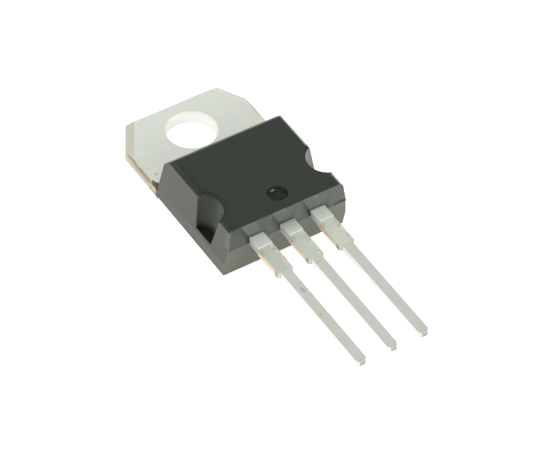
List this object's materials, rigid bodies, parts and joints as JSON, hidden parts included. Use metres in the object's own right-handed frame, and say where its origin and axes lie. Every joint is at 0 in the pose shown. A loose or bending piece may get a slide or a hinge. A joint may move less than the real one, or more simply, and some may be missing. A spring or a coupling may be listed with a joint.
{
  "type": "voltage regulator",
  "caption": "Three-lead voltage regulator: a drafted black moulding with side notches on a bolt-down metal tab, with a stepped lead row at its other end.",
  "frame": {"origin": "centre of the mounting hole, on the flat back of the tab", "axes": "+Z along the hole's axis, from the flat back towards the moulded top; +Y from the leads towards the free end of the tab; +X across the lead row, towards the output lead"},
  "size_m": [0.0102, 0.0289, 0.0044],
  "materials": {
    "black_moulding": "matte",
    "tinned_copper": "satin",
    "silicon": "polished",
    "solder": "satin",
    "bond_wire": "satin"
  },
  "bodies": {
    "root": {"moulded_body": "black_moulding", "tab_and_ground_lead": "tinned_copper", "input_lead": "tinned_copper", "output_lead": "tinned_copper", "silicon_die": "silicon", "die_solder": "solder", "input_wire": "bond_wire", "output_wire": "bond_wire", "ground_wire": "bond_wire"}
  },
  "joints": []
}
